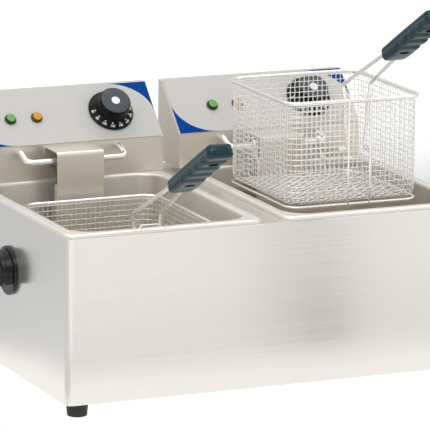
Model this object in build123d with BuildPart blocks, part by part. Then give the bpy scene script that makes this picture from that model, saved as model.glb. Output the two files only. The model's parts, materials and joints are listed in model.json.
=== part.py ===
from build123d import *
from math import cos, radians, sin, sqrt, tan
import os

# Double countertop deep fryer: two lift-out oil tanks in one sheet-steel housing, a removable
# control head with its own heating element over each tank, and a wire basket with a folding
# handle for each. The left basket is in its tank, the right one hangs on its head's rod.
# Millimetres. X to the right, Y to the back, Z up, origin on the counter under the middle.

# ---------------------------------------------------------------- driving dimensions
SHEET = 1.0                # steel sheet of the housing, tanks and heads
GAP = 0.3                  # play between pieces that move apart
TOUCH = 0.05               # play between fixed pieces that lie against each other

FOOT_HEIGHT = 18.0
FOOT_TOP_D = 28.0
FOOT_INSET = 22.0          # foot centre from the housing's sides

BODY_WIDTH = 553.0
BODY_DEPTH = 388.0
BODY_HEIGHT = 207.0        # casing's bottom edge to the deck's top
BODY_CORNER = 9.0
FRONT_Y = -123.71            # housing's front face

RIM_WIDTH = 262.0          # tank's rolled rim
RIM_DEPTH = 325.0
RIM_HEIGHT = 5.0
RIM_CORNER = 14.0
RIM_EDGE = 4.0             # radius of the rim's rolled edge
RIM_FLANGE = 14.0          # rim's outer edge to the tank's inner wall
RIM_SETBACK = 3.0          # rim behind the housing's front face
TANK_X = 145.5             # tank centre from the middle
TANK_DEPTH = 190.0         # rim's top to the floor
TANK_CORNER = 32.0
TANK_FLOOR_EDGE = 18.0

HEAD_WIDTH = 260.0
HEAD_CENTRES = {"left": -144.0, "right": 138.5}
HEAD_FRONT = 320.0         # head's front face behind the housing's front
HEAD_DEPTH = 71.0
HEAD_FACE_HEIGHT = 44.0    # upright part of the head's front
HEAD_TOP_FLAT = 9.0

KNOB_AT = (67.5, 43.5)     # knob's centre: across from the head's middle, up the sloping panel
LAMPS_AT = {"green": (-71.5, 41.5), "amber": (-35.5, 41.5)}
SHAFT_R = 3.0
SHAFT_PLAY = 0.05

ROD_D = 8.0
ROD_HALF = 68.0            # hanger rod's legs from its middle
ROD_REACH = 33.0           # bar in front of the head's face
ROD_RISE = 34.5            # bar above the deck
ROD_LEG_RISE = 9.0         # rod's holes in the head above its bar
ROD_SHIFT = -4.0           # rod and guard left of the head's middle

TUBE_D = 8.5               # heating element's tube
BULB_DX = 7.0              # sensor bulbs from the guard's middle
ELEMENT_RISE = 33.5        # element's plane above the tank's floor
GUARD_HALF = 32.0
GUARD_REACH = 45.0         # guard's front plate in front of the head's face
GUARD_SHEET = 1.4

BASKET_WIDTH = 190.0
BASKET_DEPTH = 198.0
BASKET_HEIGHT = 137.0
BASKET_CORNER = 24.0
BASKET_SHIFTS = {"left": -4.0, "right": 7.0}   # basket from its head's middle
RIM_WIRE_D = 5.0
BASE_WIRE_D = 4.0
MESH_WALL = 1.5
MESH_INSET = 4.2           # mesh behind the rim wire's outside
HOOK_WIRE_D = 4.0
HOOK_HALF = 46.0           # hooks from the basket's middle
HOOK_RISE = 40.0           # hook's eye above the basket's underside
HOOK_REACH = 13.0          # hook's eye behind the basket
HANDLE_SHIFT = 2.5         # bracket and handle right of the basket's middle
BRACKET_HALF = 15.0
BRACKET_WIRE_D = 2.5
EYE_R = 3.8                # eyes that the handle pivots in
LEFT_BASKET_FRONT = 55.6   # lowered basket behind the housing's front

LEG_D = 5.0
PIVOT_DROP = 66.0          # handle's pivot below the basket's rim
ARM_RISE = 18.0            # arm's bend above the basket's rim
ARM_ANGLE = 29.3           # arm's slope
ARM_HALVES = (12.0, 17.0, 19.5, 11.0)   # legs from the middle: pivot, rim, bend, grip
GRIP_START = 110.0         # grip along the arm, from the bend
GRIP_END = 253.0
GRIP_HALF = 17.0
GRIP_TOP = 7.2             # from the arm's axis, where the grip's two halves meet
GRIP_BOTTOM = 10.5
GRIP_EDGE = 4.0
SCALLOP_R = 22.0           # finger scallops in the grip's underside
SCALLOP_DEPTH = 2.0
WIRE_END = 190.0           # end of the wire inside the grip

# ---------------------------------------------------------------- derived places
DECK_Z = FOOT_HEIGHT + BODY_HEIGHT
REAR_Y = FRONT_Y + BODY_DEPTH
BODY_Y = FRONT_Y + BODY_DEPTH / 2
RIM_Z = DECK_Z + RIM_HEIGHT
TANK_Y = FRONT_Y + RIM_SETBACK + RIM_DEPTH / 2
FLOOR_Z = RIM_Z - TANK_DEPTH
WELL_WIDTH = RIM_WIDTH - 2 * RIM_FLANGE
WELL_DEPTH = RIM_DEPTH - 2 * RIM_FLANGE

HEAD_Y = FRONT_Y + HEAD_FRONT
HEAD_BACK_Y = HEAD_Y + HEAD_DEPTH
HEAD_Z = RIM_Z + GAP
FACE_TOP_Z = HEAD_Z + HEAD_FACE_HEIGHT
SLOPE_RUN = HEAD_DEPTH - HEAD_TOP_FLAT
HEAD_TOP_Z = FACE_TOP_Z + SLOPE_RUN
SLOPE_LENGTH = SLOPE_RUN * sqrt(2)
FACEPLATE = 1.2
COVER_Y = HEAD_BACK_Y - 1.4

BAR_Y = HEAD_Y - ROD_REACH
BAR_Z = DECK_Z + ROD_RISE
GUARD_Y = HEAD_Y - GUARD_REACH
ELEMENT_Z = FLOOR_Z + ELEMENT_RISE
REST_Z = ELEMENT_Z + TUBE_D / 2 + TOUCH + GUARD_SHEET
LEG_Y = HEAD_Y - 22
LEG_HALF = 20.0
LEG_TOP_Z = DECK_Z + 25
PIVOT_REACH = MESH_INSET + MESH_WALL + TOUCH + EYE_R

SIDES = {"left": -1, "right": 1}
BASKET_PLACES = {
    "left": (
        HEAD_CENTRES["left"] + BASKET_SHIFTS["left"],
        FRONT_Y + LEFT_BASKET_FRONT,
        REST_Z + GAP,
    ),
    "right": (
        HEAD_CENTRES["right"] + BASKET_SHIFTS["right"],
        BAR_Y - HOOK_REACH - BASKET_DEPTH,
        BAR_Z - HOOK_RISE,
    ),
}
FOOT_CENTRES = [
    (x, y)
    for x in (-BODY_WIDTH / 2 + FOOT_INSET, BODY_WIDTH / 2 - FOOT_INSET)
    for y in (FRONT_Y + FOOT_INSET, REAR_Y - FOOT_INSET)
]
HANDLE_Y = BODY_Y
HANDLE_Z = FOOT_HEIGHT + 128
HANDLE_SCREW_DY = 21.0
HANDLE_SCREW_DZ = 16.0
SCREW_R = 2.0
LUG_XS = (-90.0, 90.0)
LUG_Y = HEAD_Y + 52
RESET_AT = (-60.0, HEAD_Z + 26)
GLAND_AT = (88.0, HEAD_Z + 26)
COVER_SCREWS = [(x, HEAD_Z + z) for x in (-122.0, 122.0) for z in (14.0, 92.0)]
REAR_SCREWS = [(x, FOOT_HEIGHT + z) for x in (-262.0, 0.0, 262.0) for z in (16.0, 190.0)]


# ---------------------------------------------------------------- helpers
def panel_plane(head_x, height=0.0):
    """The head's sloping panel: X across, Y up the slope from its lower edge, Z outwards."""
    plane = Plane(origin=(head_x, HEAD_Y, FACE_TOP_Z), x_dir=(1, 0, 0), z_dir=(0, -1, 1))
    return plane.offset(height)


def rear_plane(y):
    """An upright plane facing backwards, X to the left and Y up, at the given depth."""
    return Plane(origin=(0, y, 0), x_dir=(-1, 0, 0), z_dir=(0, 1, 0))


def side_plane(side, offset=0.0):
    """A plane on the housing's side at the handle's middle: X to the back, Z outwards."""
    outside = side * (BODY_WIDTH / 2 + offset)
    return Plane((outside, HANDLE_Y, HANDLE_Z), x_dir=(0, 1, 0), z_dir=(side, 0, 0))


def handle_screws(side):
    """Places of the side handle's two screws on its plane, whose Y points up only on the right."""
    return [(y, side * HANDLE_SCREW_DZ) for y in (-HANDLE_SCREW_DY, HANDLE_SCREW_DY)]


def turning_plane(plane, place):
    """The side plane and the axis for turning a profile about the plane's normal at a place."""
    centre = plane.from_local_coords((*place, 0))
    side = Plane(origin=centre, x_dir=plane.x_dir, z_dir=plane.y_dir.reverse())
    return side, Axis(centre, plane.z_dir)


def save(part, name):
    part.label = name
    export_step(part, f"parts/{name}.step")


def wire(points, diameter, bend):
    """A round wire bent along the points."""
    with BuildPart() as tube:
        with BuildLine() as path:
            FilletPolyline(*points, radius=bend)
        with BuildSketch(Plane(origin=path.line @ 0, z_dir=path.line % 0)):
            Circle(diameter / 2)
        sweep(path=path.line)
    return tube.part


def ring(centre_x, centre_y, z, width, depth, corner, diameter):
    """A round wire bent into a rounded rectangle that lies flat, made of two equal halves."""
    with BuildPart() as loop:
        with BuildLine() as half:
            FilletPolyline(
                (centre_x - width / 2, centre_y, z),
                (centre_x - width / 2, centre_y - depth / 2, z),
                (centre_x + width / 2, centre_y - depth / 2, z),
                (centre_x + width / 2, centre_y, z),
                radius=corner,
            )
        with BuildSketch(Plane(origin=half.line @ 0, z_dir=half.line % 0)):
            Circle(diameter / 2)
        sweep(path=half.line)
        mirror(about=Plane(origin=(0, centre_y, 0), x_dir=(1, 0, 0), z_dir=(0, 1, 0)))
    return loop.part


# ---------------------------------------------------------------- housing
def outer_casing():
    with BuildPart() as casing:
        with BuildSketch(Plane((0, BODY_Y, FOOT_HEIGHT))):
            RectangleRounded(BODY_WIDTH, BODY_DEPTH, BODY_CORNER)
        extrude(amount=BODY_HEIGHT - SHEET)
        with BuildSketch(Plane((0, BODY_Y, FOOT_HEIGHT))):
            RectangleRounded(BODY_WIDTH - 2 * SHEET, BODY_DEPTH - 2 * SHEET, BODY_CORNER - SHEET)
        extrude(amount=BODY_HEIGHT, mode=Mode.SUBTRACT)
        with BuildSketch(Plane((0, REAR_Y, FOOT_HEIGHT))):
            Rectangle(BODY_WIDTH - 2 * BODY_CORNER, 4 * SHEET)
        extrude(amount=BODY_HEIGHT, mode=Mode.SUBTRACT)
        for side in SIDES.values():
            with BuildSketch(side_plane(side)):
                with Locations(*handle_screws(side)):
                    Circle(SCREW_R + TOUCH)
            extrude(amount=-2 * SHEET, mode=Mode.SUBTRACT)
    return casing.part


def rear_panel():
    width = BODY_WIDTH - 2 * BODY_CORNER - 2 * TOUCH
    flange = 10.0
    with BuildPart() as panel:
        with BuildSketch(rear_plane(REAR_Y)):
            with Locations((0, FOOT_HEIGHT + (BODY_HEIGHT - SHEET) / 2)):
                Rectangle(width, BODY_HEIGHT - SHEET - 2 * TOUCH)
            with Locations(REAR_SCREWS):
                Circle(SCREW_R + TOUCH, mode=Mode.SUBTRACT)
            with Locations((0, FOOT_HEIGHT + 60)):
                with GridLocations(70, 14, 6, 3):
                    SlotOverall(46, 5, mode=Mode.SUBTRACT)
        extrude(amount=-SHEET)
        with BuildSketch(Plane((0, REAR_Y - SHEET - flange / 2, FOOT_HEIGHT + TOUCH))):
            Rectangle(width, flange)
        extrude(amount=SHEET)
    return panel.part


def top_deck():
    with BuildPart() as deck:
        with BuildSketch(Plane((0, BODY_Y, DECK_Z - SHEET))):
            RectangleRounded(BODY_WIDTH, BODY_DEPTH, BODY_CORNER)
            with Locations(*[(side * TANK_X, TANK_Y - BODY_Y) for side in SIDES.values()]):
                RectangleRounded(WELL_WIDTH + 8, WELL_DEPTH + 8, TANK_CORNER + 4, mode=Mode.SUBTRACT)
            lugs = [(x + lug, LUG_Y - BODY_Y) for x in HEAD_CENTRES.values() for lug in LUG_XS]
            with Locations(*lugs):
                Rectangle(30, 7, mode=Mode.SUBTRACT)
        extrude(amount=SHEET)
        chamfer(deck.faces().sort_by(Axis.Z)[-1].outer_wire().edges(), 0.6)
    return deck.part


def base_plate():
    plate_z = FOOT_HEIGHT + 1
    width, depth = BODY_WIDTH - 2 * SHEET - 2, BODY_DEPTH - 2 * SHEET - 14
    with BuildPart() as plate:
        with BuildSketch(Plane((0, BODY_Y - 6, plate_z))):
            RectangleRounded(width, depth, BODY_CORNER - SHEET)
            with Locations(*[(x, y - BODY_Y + 6) for x, y in FOOT_CENTRES]):
                Circle(2.6, mode=Mode.SUBTRACT)
            with GridLocations(2 * TANK_X, 200, 2, 2):
                with GridLocations(24, 0, 6, 1):
                    SlotOverall(40, 6, rotation=90, mode=Mode.SUBTRACT)
        extrude(amount=SHEET)
    return plate.part


def divider():
    """Stiffening channel between the two tank bays, under the deck."""
    with BuildPart() as channel:
        with BuildSketch(Plane((0, BODY_Y - 6, FOOT_HEIGHT + 3))):
            Rectangle(14, BODY_DEPTH - 40)
        extrude(amount=BODY_HEIGHT - SHEET - 4)
        with BuildSketch(Plane((0, BODY_Y - 6, FOOT_HEIGHT + 3 + SHEET))):
            Rectangle(14 - 2 * SHEET, BODY_DEPTH)
        extrude(amount=BODY_HEIGHT, mode=Mode.SUBTRACT)
    return channel.part


def rubber_feet():
    with BuildPart() as feet:
        with BuildSketch(Plane.XY.offset(FOOT_HEIGHT)):
            with Locations(*FOOT_CENTRES):
                Circle(FOOT_TOP_D / 2)
        extrude(amount=-FOOT_HEIGHT, taper=5)
        fillet(feet.edges().group_by(Axis.Z)[0], 1.5)
        with BuildSketch(Plane.XY.offset(FOOT_HEIGHT)):
            with Locations(*FOOT_CENTRES):
                Circle(2.6)
        extrude(amount=-FOOT_HEIGHT, mode=Mode.SUBTRACT)
        with BuildSketch(Plane.XY):
            with Locations(*FOOT_CENTRES):
                Circle(6)
        extrude(amount=9, mode=Mode.SUBTRACT)
    return feet.part


def foot_screws():
    with BuildPart() as screws:
        with BuildSketch(Plane.XY.offset(9 - TOUCH)):
            with Locations(*FOOT_CENTRES):
                Circle(4.6)
        extrude(amount=-3.4)
        with BuildSketch(Plane.XY.offset(9 - TOUCH)):
            with Locations(*FOOT_CENTRES):
                Circle(2.5)
        extrude(amount=16)
    return screws.part


def side_handle(side):
    """Round moulded cup handle with a finger pocket that opens downwards."""
    radius, hood_r, flange, depth, wall = 31.0, 27.5, 5.0, 21.0, 3.0
    face = side_plane(side, TOUCH)
    outermost = -1 if side > 0 else 0
    with BuildPart() as handle:
        with BuildSketch(face):
            Circle(radius)
        extrude(amount=flange)
        fillet(handle.faces().sort_by(Axis.X)[outermost].edges(), 2)
        with BuildSketch(face):
            Circle(hood_r)
        extrude(amount=depth)
        fillet(handle.faces().sort_by(Axis.X)[outermost].edges(), 7)
        with BuildSketch(face.offset(flange - 1)):
            Circle(hood_r - wall)
            with Locations((0, -side * hood_r)):
                Rectangle(2 * (hood_r - wall), 2 * hood_r)
            with Locations((0, side * (hood_r + 8))):
                Rectangle(2 * hood_r, 40, mode=Mode.SUBTRACT)
        extrude(amount=depth - flange + 1 - wall, mode=Mode.SUBTRACT)
        with BuildSketch(face.offset(flange)):
            with Locations((0, -side * (hood_r + 12))):
                Rectangle(3 * hood_r, 50)
        extrude(amount=depth, mode=Mode.SUBTRACT)
        with BuildSketch(face):
            with Locations(*handle_screws(side)):
                Circle(1.6)
        extrude(amount=flange - 1.5, mode=Mode.SUBTRACT)
    return handle.part


def screw_group(planes, shank, head_r=4.0, head_height=2.4, shank_r=SCREW_R):
    """Pan-head screws, each on a plane that faces out of its seat."""
    with BuildPart() as screws:
        for plane in planes:
            with BuildSketch(plane.offset(TOUCH)):
                Circle(head_r)
            extrude(amount=head_height)
            with BuildSketch(plane.offset(TOUCH)):
                Circle(shank_r)
            extrude(amount=-shank)
        rings = screws.edges().filter_by(GeomType.CIRCLE)
        fillet(rings.filter_by(lambda e: abs(e.radius - head_r) < 0.01), 0.8)
    return screws.part


def housing_screws():
    """Rear panel screws, and side handle screws driven from inside the casing."""
    rear = [Plane((x, REAR_Y, z), x_dir=(1, 0, 0), z_dir=(0, 1, 0)) for x, z in REAR_SCREWS]
    wall_x, screw_z = BODY_WIDTH / 2 - SHEET, HANDLE_Z + HANDLE_SCREW_DZ
    inner = [
        Plane((side * wall_x, HANDLE_Y + y, screw_z), z_dir=(-side, 0, 0))
        for side in SIDES.values()
        for y in (-HANDLE_SCREW_DY, HANDLE_SCREW_DY)
    ]
    with BuildPart() as screws:
        add(screw_group(rear, 6))
        add(screw_group(inner, SHEET + 3, shank_r=1.5))
    return screws.part


# ---------------------------------------------------------------- tank
def tank(side):
    """A pressed pan: a deep rounded well, and a rim rolled over the deck with a groove under it."""
    x = side * TANK_X
    wall_gap = SHEET + 4.5
    with BuildPart() as groove:
        with BuildSketch(Plane((x, TANK_Y, DECK_Z - 1))):
            RectangleRounded(RIM_WIDTH - 2 * SHEET, RIM_DEPTH - 2 * SHEET, RIM_CORNER - SHEET)
        extrude(amount=RIM_HEIGHT + 1 - SHEET)
        fillet(groove.faces().sort_by(Axis.Z)[-1].edges(), RIM_EDGE - SHEET)
        with BuildSketch(Plane((x, TANK_Y, DECK_Z - 1))):
            RectangleRounded(WELL_WIDTH + 2 * wall_gap, WELL_DEPTH + 2 * wall_gap, TANK_CORNER + wall_gap)
        extrude(amount=2 * RIM_HEIGHT, mode=Mode.SUBTRACT)
    with BuildPart() as pan:
        with BuildSketch(Plane((x, TANK_Y, FLOOR_Z - SHEET))):
            RectangleRounded(WELL_WIDTH + 2 * SHEET, WELL_DEPTH + 2 * SHEET, TANK_CORNER + SHEET)
        extrude(amount=TANK_DEPTH)
        fillet(pan.faces().sort_by(Axis.Z)[0].edges(), TANK_FLOOR_EDGE + SHEET)
        with BuildSketch(Plane((x, TANK_Y, DECK_Z + TOUCH))):
            RectangleRounded(RIM_WIDTH, RIM_DEPTH, RIM_CORNER)
        extrude(amount=RIM_HEIGHT - TOUCH)
        fillet(pan.faces().sort_by(Axis.Z)[-1].edges(), RIM_EDGE)
        add(groove.part, mode=Mode.SUBTRACT)
    with BuildPart() as well:
        with BuildSketch(Plane((x, TANK_Y, FLOOR_Z))):
            RectangleRounded(WELL_WIDTH, WELL_DEPTH, TANK_CORNER)
        extrude(amount=TANK_DEPTH + 1)
        fillet(well.faces().sort_by(Axis.Z)[0].edges(), TANK_FLOOR_EDGE)
    with BuildPart() as finished:
        add(pan.part)
        add(well.part, mode=Mode.SUBTRACT)
        mouth = finished.faces().filter_by(Axis.Z).sort_by(Axis.Z)[-1].inner_wires()[0]
        fillet(mouth.edges(), RIM_EDGE)
        with BuildSketch(Plane((x, TANK_Y, RIM_Z))):
            RectangleRounded(RIM_WIDTH - 10.5, RIM_DEPTH - 10.5, RIM_CORNER - 4)
            RectangleRounded(RIM_WIDTH - 12.5, RIM_DEPTH - 12.5, RIM_CORNER - 5, mode=Mode.SUBTRACT)
        extrude(amount=-0.5, mode=Mode.SUBTRACT)
    return finished.part


# ---------------------------------------------------------------- control head
def head_casing(x):
    """Folded front, sloping panel, top and sides, with return flanges for the rear cover."""
    inset = SHEET * tan(radians(22.5))
    front, back = HEAD_Y, HEAD_BACK_Y
    outer = [
        (front, HEAD_Z),
        (front, FACE_TOP_Z),
        (front + SLOPE_RUN, HEAD_TOP_Z),
        (back, HEAD_TOP_Z),
        (back, HEAD_Z),
    ]
    inner = [
        (front + SHEET, HEAD_Z - 1),
        (front + SHEET, FACE_TOP_Z - inset),
        (front + SLOPE_RUN + inset, HEAD_TOP_Z - SHEET),
        (back + 1, HEAD_TOP_Z - SHEET),
        (back + 1, HEAD_Z - 1),
    ]
    with BuildPart() as casing:
        with BuildSketch(Plane.YZ.offset(x - HEAD_WIDTH / 2)):
            with BuildLine():
                Polyline(*outer, close=True)
            make_face()
        extrude(amount=HEAD_WIDTH)
        rims = casing.faces().filter_by(Axis.X).edges()
        fillet(rims.filter_by(lambda e: e.center().Y < back - 1 and e.center().Z > HEAD_Z + 1), 0.9)
        with BuildSketch(Plane.YZ.offset(x - HEAD_WIDTH / 2 + SHEET)):
            with BuildLine():
                Polyline(*inner, close=True)
            make_face()
        extrude(amount=HEAD_WIDTH - 2 * SHEET, mode=Mode.SUBTRACT)
        with BuildSketch(Plane((x, back - 3, HEAD_Z + 4))):
            with GridLocations(HEAD_WIDTH - 2 * SHEET - 14, 0, 2, 1):
                Rectangle(14, SHEET)
        extrude(amount=HEAD_TOP_Z - HEAD_Z - 10)
        with BuildSketch(Plane((x, front, 0), x_dir=(1, 0, 0), z_dir=(0, -1, 0))):
            with Locations((-LEG_HALF + ROD_SHIFT, LEG_TOP_Z), (LEG_HALF + ROD_SHIFT, LEG_TOP_Z)):
                Circle(TUBE_D / 2 + GAP)
            with Locations(*[(ROD_SHIFT + dx, LEG_TOP_Z - 6) for dx in (-BULB_DX, BULB_DX)]):
                Circle(1.8)
            rod_legs = [(ROD_SHIFT + dx, BAR_Z + ROD_LEG_RISE) for dx in (-ROD_HALF, ROD_HALF)]
            with Locations(*rod_legs):
                Circle(ROD_D / 2 + TOUCH)
        extrude(amount=-2 * SHEET, mode=Mode.SUBTRACT)
        with BuildSketch(panel_plane(x, 1)):
            with Locations(KNOB_AT):
                Circle(5.2)
            with Locations(*LAMPS_AT.values()):
                Circle(6.1)
        extrude(amount=-3, mode=Mode.SUBTRACT)
        with BuildSketch(rear_plane(back)):
            with Locations(*[(-x - dx, z) for dx, z in COVER_SCREWS]):
                Circle(SCREW_R + TOUCH)
        extrude(amount=-6, mode=Mode.SUBTRACT)
    return casing.part


def rear_cover(x):
    width = HEAD_WIDTH - 2 * SHEET - 2 * TOUCH
    depth = COVER_Y - HEAD_Y - SHEET - TOUCH
    with BuildPart() as cover:
        with BuildSketch(rear_plane(COVER_Y)):
            with Locations((-x, (HEAD_Z + HEAD_TOP_Z - SHEET) / 2)):
                Rectangle(width, HEAD_TOP_Z - SHEET - HEAD_Z - TOUCH)
            with Locations(*[(-x - dx, z) for dx, z in COVER_SCREWS]):
                Circle(SCREW_R + TOUCH, mode=Mode.SUBTRACT)
            with Locations((-x - RESET_AT[0], RESET_AT[1])):
                Circle(5.2, mode=Mode.SUBTRACT)
            with Locations((-x - GLAND_AT[0], GLAND_AT[1])):
                Circle(8.1, mode=Mode.SUBTRACT)
            with Locations((-x, HEAD_Z + 74)):
                with GridLocations(40, 10, 4, 3):
                    SlotOverall(30, 3.5, mode=Mode.SUBTRACT)
        extrude(amount=-SHEET)
        with BuildSketch(Plane((x, COVER_Y - depth / 2 - SHEET / 2, HEAD_Z))):
            Rectangle(width, depth - SHEET)
        extrude(amount=SHEET)
        with BuildSketch(Plane((x, LUG_Y, HEAD_Z + SHEET))):
            with Locations(*[(lug, 0) for lug in LUG_XS]):
                Rectangle(24, 2)
        extrude(amount=-26)
    return cover.part


def faceplate(x):
    """Overlay on the sloping panel."""
    with BuildPart() as plate:
        with BuildSketch(panel_plane(x, TOUCH)):
            with Locations((0, SLOPE_LENGTH / 2)):
                RectangleRounded(HEAD_WIDTH - 2, SLOPE_LENGTH - 1.6, 1.5)
            with Locations(KNOB_AT):
                Circle(5.2, mode=Mode.SUBTRACT)
            with Locations(*LAMPS_AT.values()):
                Circle(6.1, mode=Mode.SUBTRACT)
        extrude(amount=FACEPLATE)
    return plate.part


def lamp(x, place):
    """Flat lens with a collar, and a stem through the panel."""
    seat = panel_plane(x, FACEPLATE + 2 * TOUCH)
    with BuildPart() as lens:
        for radius, length in ((6.2, 5.0), (7.6, 1.6), (5.9, -16)):
            with BuildSketch(seat):
                with Locations(place):
                    Circle(radius)
            extrude(amount=length)
        fillet(lens.faces().sort_by(Axis(seat.origin, seat.z_dir))[-1].edges(), 1.2)
    return lens.part


def thermostat(x):
    """Control body under the panel, its neck, and the shaft that the knob turns on."""
    with BuildPart() as body:
        with BuildSketch(panel_plane(x, -SHEET - 2 * TOUCH)):
            with Locations(KNOB_AT):
                RectangleRounded(36, 34, 3)
        extrude(amount=-28)
        with BuildSketch(panel_plane(x, -SHEET - 2 * TOUCH)):
            with Locations(KNOB_AT):
                Circle(5)
        extrude(amount=SHEET + FACEPLATE)
        with BuildSketch(panel_plane(x)):
            with Locations(KNOB_AT):
                Circle(SHAFT_R)
        extrude(amount=17)
    return body.part


def knob(x):
    """Dial knob: a sloping skirt that carries the scale, and a tall round cap."""
    plane = panel_plane(x)
    side, axis = turning_plane(plane, KNOB_AT)
    bore = SHAFT_R + SHAFT_PLAY
    socket = [(0, 18), (bore, 18), (bore, 2)]
    skirt = [(30, 2), (30, 4.2), (21.5, 9.5)]
    with BuildPart() as dial:
        with BuildSketch(side):
            with BuildLine():
                Polyline(*socket, *skirt, (20.6, 25.5), (19.8, 26.5), (0, 26.5), close=True)
            make_face()
        revolve(axis=axis)
        with BuildSketch(plane.offset(25.7)):
            with Locations((KNOB_AT[0], KNOB_AT[1] + 18)):
                Rectangle(1.6, 5)
        extrude(amount=3, mode=Mode.SUBTRACT)
    return dial.part


def hanger_rod(x):
    """A rod out of the head's face, down a little to its bar, and back."""
    mid, start_z = x + ROD_SHIFT, BAR_Z + ROD_LEG_RISE
    leg = [(HEAD_Y + 9, start_z), (HEAD_Y - 10, start_z), (BAR_Y, BAR_Z)]
    left = [(mid - ROD_HALF, y, z) for y, z in leg]
    right = [(mid + ROD_HALF, y, z) for y, z in reversed(leg)]
    return wire(left + right, ROD_D, 9)


def heating_element(x):
    """One tube: down behind the guard, out to both sides in two long loops, and back up."""
    mid = x + ROD_SHIFT
    back, loop_back, front = LEG_Y, LEG_Y - 30, FRONT_Y + 62
    wide, narrow, inner_back = 82, 30, LEG_Y - 62
    half = [
        (LEG_HALF, HEAD_Y + 14, LEG_TOP_Z),
        (LEG_HALF, back, LEG_TOP_Z),
        (LEG_HALF, back, ELEMENT_Z),
        (LEG_HALF, loop_back, ELEMENT_Z),
        (wide, loop_back, ELEMENT_Z),
        (wide, front, ELEMENT_Z),
        (narrow, front, ELEMENT_Z),
        (narrow, inner_back, ELEMENT_Z),
    ]
    left = [(mid - px, y, z) for px, y, z in half]
    right = [(mid + px, y, z) for px, y, z in reversed(half)]
    return wire(left + right, TUBE_D, 12)


def element_guard(x):
    """Bent sheet that shields the element's legs, with the bars that the basket rests on."""
    mid = x + ROD_SHIFT
    shelf_z = FACE_TOP_Z - 2
    bars_z = REST_Z - GUARD_SHEET / 2
    bars_front, tab_y = FRONT_Y + 95, HEAD_Y - 0.8
    shield = [(tab_y, shelf_z - 11), (tab_y, shelf_z), (GUARD_Y, shelf_z), (GUARD_Y, bars_z)]
    tongue = [(GUARD_Y, bars_z + 40), (GUARD_Y, bars_z), (bars_front, bars_z)]
    with BuildPart() as guard:
        for width, bend, points in ((2 * GUARD_HALF, 5, shield), (36, 4, tongue)):
            with BuildLine(Plane.YZ.offset(mid)) as fold:
                FilletPolyline(*points, radius=bend)
            with BuildSketch(Plane(origin=fold.line @ 0, x_dir=(1, 0, 0), z_dir=fold.line % 0)):
                Rectangle(width, GUARD_SHEET)
            sweep(path=fold.line)
        with BuildSketch(Plane((mid, GUARD_Y + 4.5, bars_z + 6))):
            with GridLocations(2 * GUARD_HALF - GUARD_SHEET, 0, 2, 1):
                Rectangle(GUARD_SHEET, 9)
        extrude(amount=DECK_Z - bars_z)
        with BuildSketch(Plane((mid, 0, REST_Z - GUARD_SHEET))):
            with Locations((0, bars_front + 8), (0, bars_front + 118)):
                Rectangle(188, 16)
        extrude(amount=GUARD_SHEET)
    return guard.part


def sensor_bulbs(x):
    """Thermostat and cut-out bulbs, upright behind the guard, with their capillaries."""
    bulb_y, low, high, top = GUARD_Y + 10, ELEMENT_Z + 14, ELEMENT_Z + 110, LEG_TOP_Z - 6
    with BuildPart() as bulbs:
        for bulb_x in (x + ROD_SHIFT - BULB_DX, x + ROD_SHIFT + BULB_DX):
            bends = [(bulb_x, bulb_y, high), (bulb_x, bulb_y, top), (bulb_x, HEAD_Y + 12, top)]
            with BuildLine() as path:
                FilletPolyline(*bends, radius=8)
            with BuildSketch(Plane((bulb_x, bulb_y, high))):
                Circle(1.4)
            sweep(path=path.line)
            with BuildSketch(Plane((bulb_x, bulb_y, low))):
                Circle(3)
            extrude(amount=high - low + 1)
    return bulbs.part


def safety_cutout(x):
    """High-limit cut-out behind the rear cover, with a neck that guides its reset button."""
    with BuildPart() as cutout:
        with BuildSketch(rear_plane(COVER_Y - SHEET - TOUCH)):
            with Locations((-x - RESET_AT[0], RESET_AT[1])):
                RectangleRounded(34, 26, 3)
        extrude(amount=-22)
        with BuildSketch(rear_plane(COVER_Y - SHEET - TOUCH)):
            with Locations((-x - RESET_AT[0], RESET_AT[1])):
                Circle(5)
        extrude(amount=5)
        with BuildSketch(rear_plane(COVER_Y + 6)):
            with Locations((-x - RESET_AT[0], RESET_AT[1])):
                Circle(3 + SHAFT_PLAY)
        extrude(amount=-20, mode=Mode.SUBTRACT)
    return cutout.part


def reset_button(x):
    with BuildPart() as button:
        with BuildSketch(rear_plane(COVER_Y + 8)):
            with Locations((-x - RESET_AT[0], RESET_AT[1])):
                Circle(3)
        extrude(amount=-16)
        fillet(button.edges().filter_by(GeomType.CIRCLE).sort_by(Axis.Y)[-1], 0.8)
    return button.part


def terminal_block(x):
    """Mains terminals behind the rear cover."""
    front = COVER_Y - SHEET - TOUCH
    with BuildPart() as block:
        with BuildSketch(rear_plane(front)):
            with Locations((-x - 20, GLAND_AT[1] - 4)):
                RectangleRounded(52, 18, 1.5)
        extrude(amount=-16)
        with BuildSketch(rear_plane(front - 16)):
            with Locations((-x - 20, GLAND_AT[1] - 4)):
                with GridLocations(15, 0, 3, 1):
                    Circle(3)
        extrude(amount=8, mode=Mode.SUBTRACT)
    return block.part


def cable_gland(x):
    place = (-x - GLAND_AT[0], GLAND_AT[1])
    with BuildPart() as gland:
        for start, length, shape_r, sides in ((TOUCH, 5, 11, 6), (5, 4, 8.6, 0), (9, 6, 10, 12)):
            with BuildSketch(rear_plane(COVER_Y + start)):
                with Locations(place):
                    if sides:
                        RegularPolygon(shape_r, sides)
                    else:
                        Circle(shape_r)
            extrude(amount=length)
        with BuildSketch(rear_plane(COVER_Y + 15)):
            with Locations(place):
                Circle(8)
        extrude(amount=2, taper=30)
        with BuildSketch(rear_plane(COVER_Y + TOUCH)):
            with Locations(place):
                Circle(8)
        extrude(amount=-10)
        with BuildSketch(rear_plane(COVER_Y - SHEET - TOUCH)):
            with Locations(place):
                RegularPolygon(11, 6)
        extrude(amount=-4)
        with BuildSketch(rear_plane(COVER_Y + 20)):
            with Locations(place):
                Circle(3.6)
        extrude(amount=-40, mode=Mode.SUBTRACT)
    return gland.part


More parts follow.
